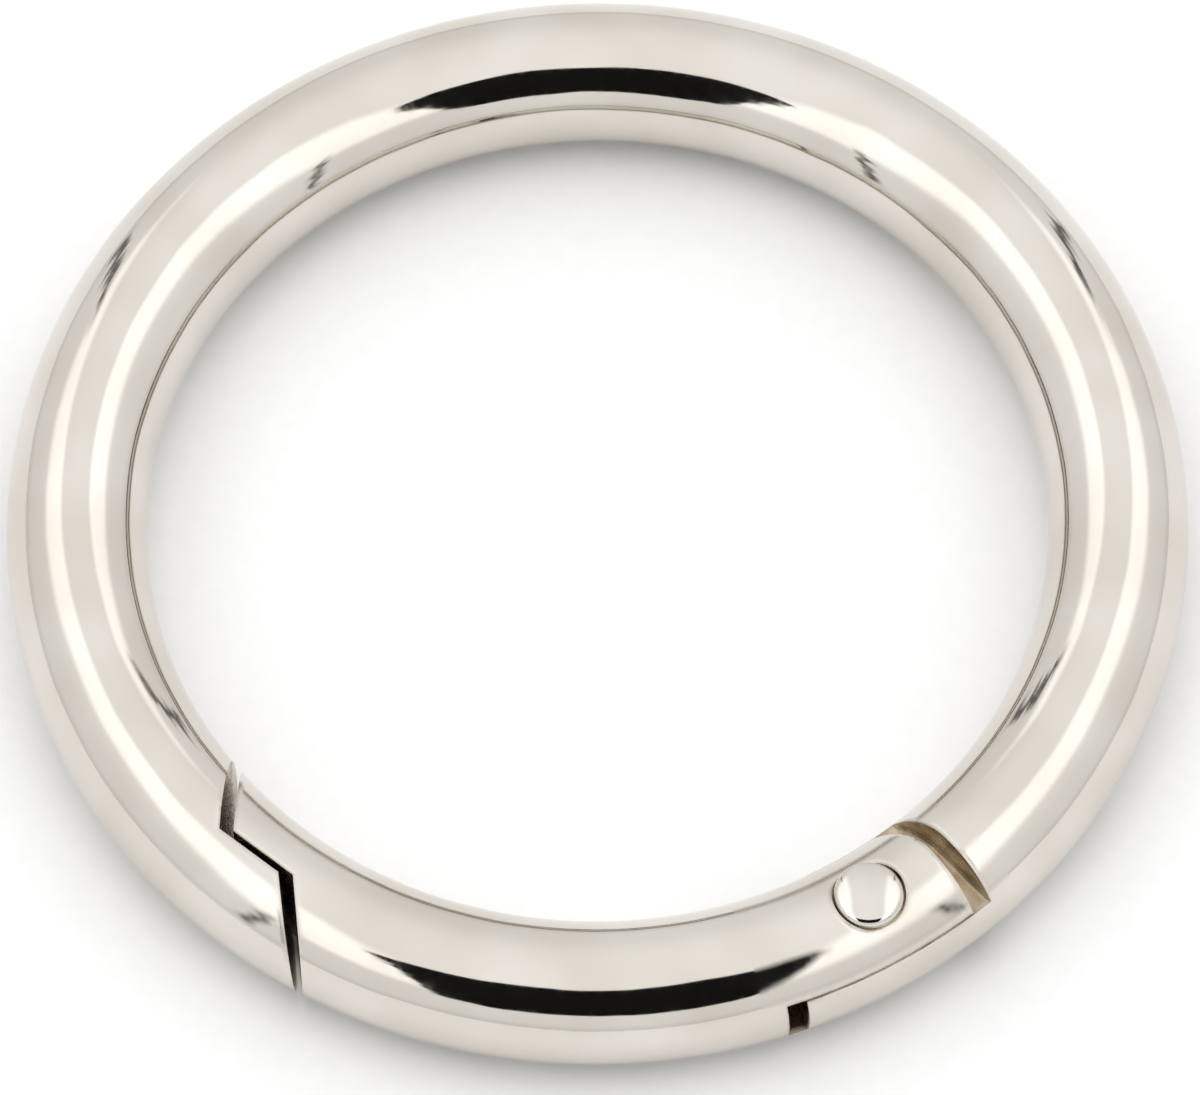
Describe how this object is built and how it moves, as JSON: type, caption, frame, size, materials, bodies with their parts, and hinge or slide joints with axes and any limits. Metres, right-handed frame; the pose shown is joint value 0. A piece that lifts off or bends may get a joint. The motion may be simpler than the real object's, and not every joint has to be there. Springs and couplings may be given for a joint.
{
  "type": "spring snap hook",
  "caption": "Round snap ring: a cast ring of round section, closed by a curved gate that swings inwards on a sprung rivet hinge and shuts against a stepped latch.",
  "frame": {"origin": "on the axis of the ring, in the plane that the ring lies on", "axes": "+Z is the axis of the ring, -Y is the front, where the gate is, and +X is the side of the hinge"},
  "size_m": [0.042, 0.042, 0.0053],
  "materials": {
    "nickel_plate": "polished zinc die-casting with warm bright nickel plating",
    "rivet_nickel": "steel rivet, nickel plated with the ring",
    "pin_steel": "ground steel pin",
    "spring_steel": "drawn spring wire"
  },
  "bodies": {
    "ring": {"body_ring": "nickel_plate"},
    "gate": {"gate": "nickel_plate", "rivet": "rivet_nickel", "spring": "spring_steel"},
    "pin": {"push_pin": "pin_steel"}
  },
  "joints": [
    {"name": "gate_pivot", "type": "hinge", "parent": "ring", "child": "gate", "pos_m": [0.00925, -0.01602, 0.0025], "axis": [0, 0, -1], "range_deg": [0, 45], "stiffness_Nm_per_rad": 0.004, "springref_deg": -57.3},
    {"name": "pin_slide", "type": "slide", "parent": "gate", "child": "pin", "axis": [-0.9088, -0.4173, 0], "range_m": [0, 0.0006], "deforming": ["spring"]}
  ],
  "couplings": [
    {"joint": "pin_slide", "follows": "gate_pivot", "m_per_rad": 0.0007}
  ]
}
